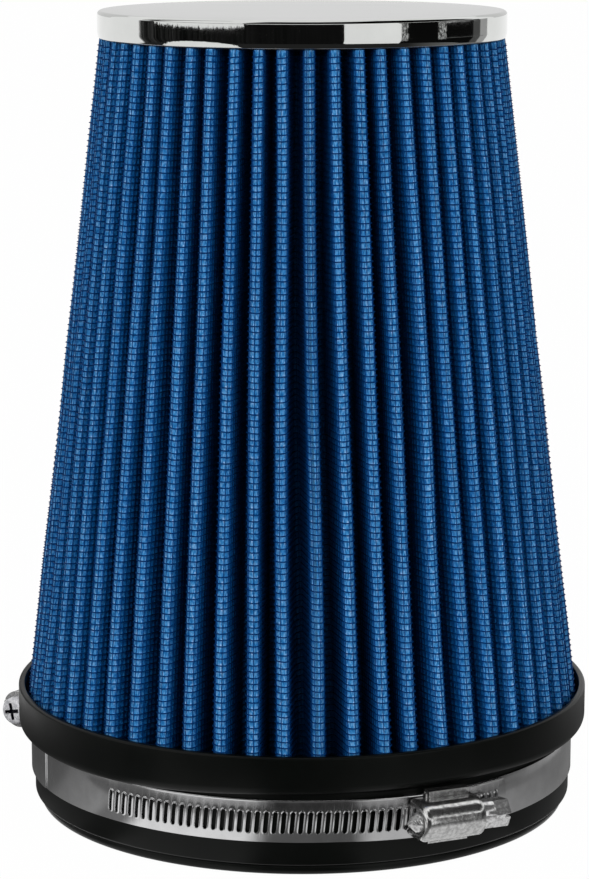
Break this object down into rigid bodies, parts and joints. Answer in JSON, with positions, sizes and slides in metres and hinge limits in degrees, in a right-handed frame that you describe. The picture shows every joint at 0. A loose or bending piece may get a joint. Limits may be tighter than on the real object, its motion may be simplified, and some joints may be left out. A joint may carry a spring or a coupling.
{
  "type": "cone air filter",
  "caption": "Clamp-on conical air filter: pleated blue cloth between wire screens, chromed end cap, soft black base with a round neck and a worm-drive clamp.",
  "frame": {"origin": "on the filter's axis, in the plane of the neck's open end", "axes": "+Z along the axis, from the neck to the cap; -Y towards the viewer of the front, with the worm housing to the right of it"},
  "size_m": [0.1869, 0.1792, 0.2457],
  "materials": {
    "black_moulding": "satin moulded",
    "blue_cloth": "woven, oiled",
    "screen_wire": "coated wire",
    "plain_aluminium": "plain",
    "chrome": "polished",
    "clamp_steel": "rolled, satin",
    "plated_steel": "zinc plated"
  },
  "bodies": {
    "root": {"base": "black_moulding", "pleated_media": "blue_cloth", "outer_screen": "screen_wire", "inner_screen": "screen_wire", "seam_clip": "plain_aluminium", "top_seal": "black_moulding", "top_cap": "chrome", "slotted_band": "clamp_steel", "housing_band": "clamp_steel", "housing_saddle": "clamp_steel", "worm_housing": "clamp_steel", "front_lug": "clamp_steel", "rear_lug": "clamp_steel", "lug_screw": "plated_steel", "lug_washer": "plated_steel", "lug_nut": "plated_steel"},
    "worm": {"worm_screw": "plated_steel"}
  },
  "joints": [
    {"name": "worm_turn", "type": "hinge", "parent": "root", "child": "worm", "pos_m": [0.04419, -0.07972, 0.0167], "axis": [0.8741, 0.4845, -0.0349], "continuous": true}
  ]
}
